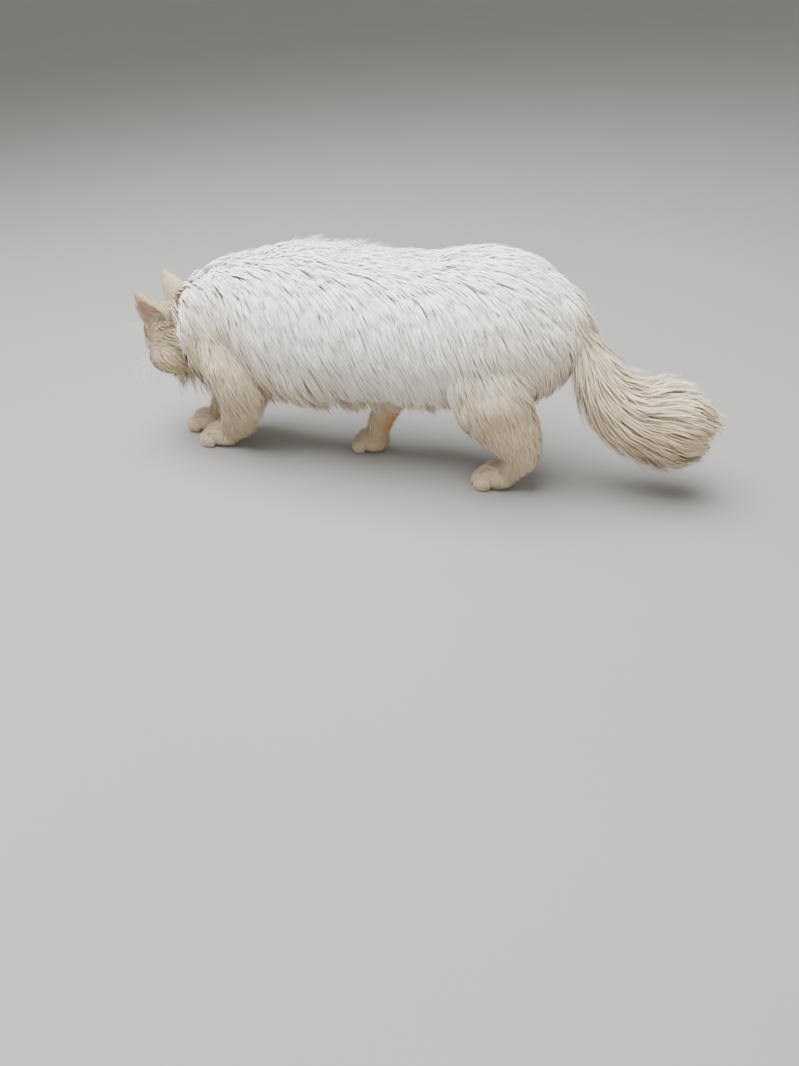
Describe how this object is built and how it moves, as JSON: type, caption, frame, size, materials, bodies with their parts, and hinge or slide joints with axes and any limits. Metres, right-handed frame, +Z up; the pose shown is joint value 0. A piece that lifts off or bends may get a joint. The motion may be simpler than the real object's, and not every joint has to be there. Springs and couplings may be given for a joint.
{
  "type": "persian cat",
  "caption": "Life-size long-haired cat in mid-walk with its head low, a full ruff, hanging belly coat and a plumed tail trailing behind.",
  "frame": {"origin": "on the floor, at the middle of the cat's length and width", "axes": "+Z up from the floor, -Y towards the nose, +Y towards the tail, +X towards the cat's left side"},
  "size_m": [0.15, 0.7138, 0.2734],
  "materials": {
    "coat": "soft white fur with a warm cast in the shade",
    "ear_fur": "thin white fur over pink skin",
    "nose_leather": "moist pink leather",
    "eye": "copper iris under a clear cornea"
  },
  "bodies": {
    "root": {"eye_left": "eye", "eye_right": "eye", "nose": "nose_leather", "head": "coat", "ear_left": "ear_fur", "ear_right": "ear_fur", "torso": "coat", "neck": "coat", "tail_base": "coat", "tail_middle": "coat", "tail_plume": "coat", "forepaw_left": "coat", "forepaw_right": "coat", "hindpaw_left": "coat", "hindpaw_right": "coat", "foreleg_left": "coat", "thigh_left": "coat", "shank_left": "coat", "foreleg_right": "coat", "thigh_right": "coat", "shank_right": "coat"}
  },
  "joints": []
}
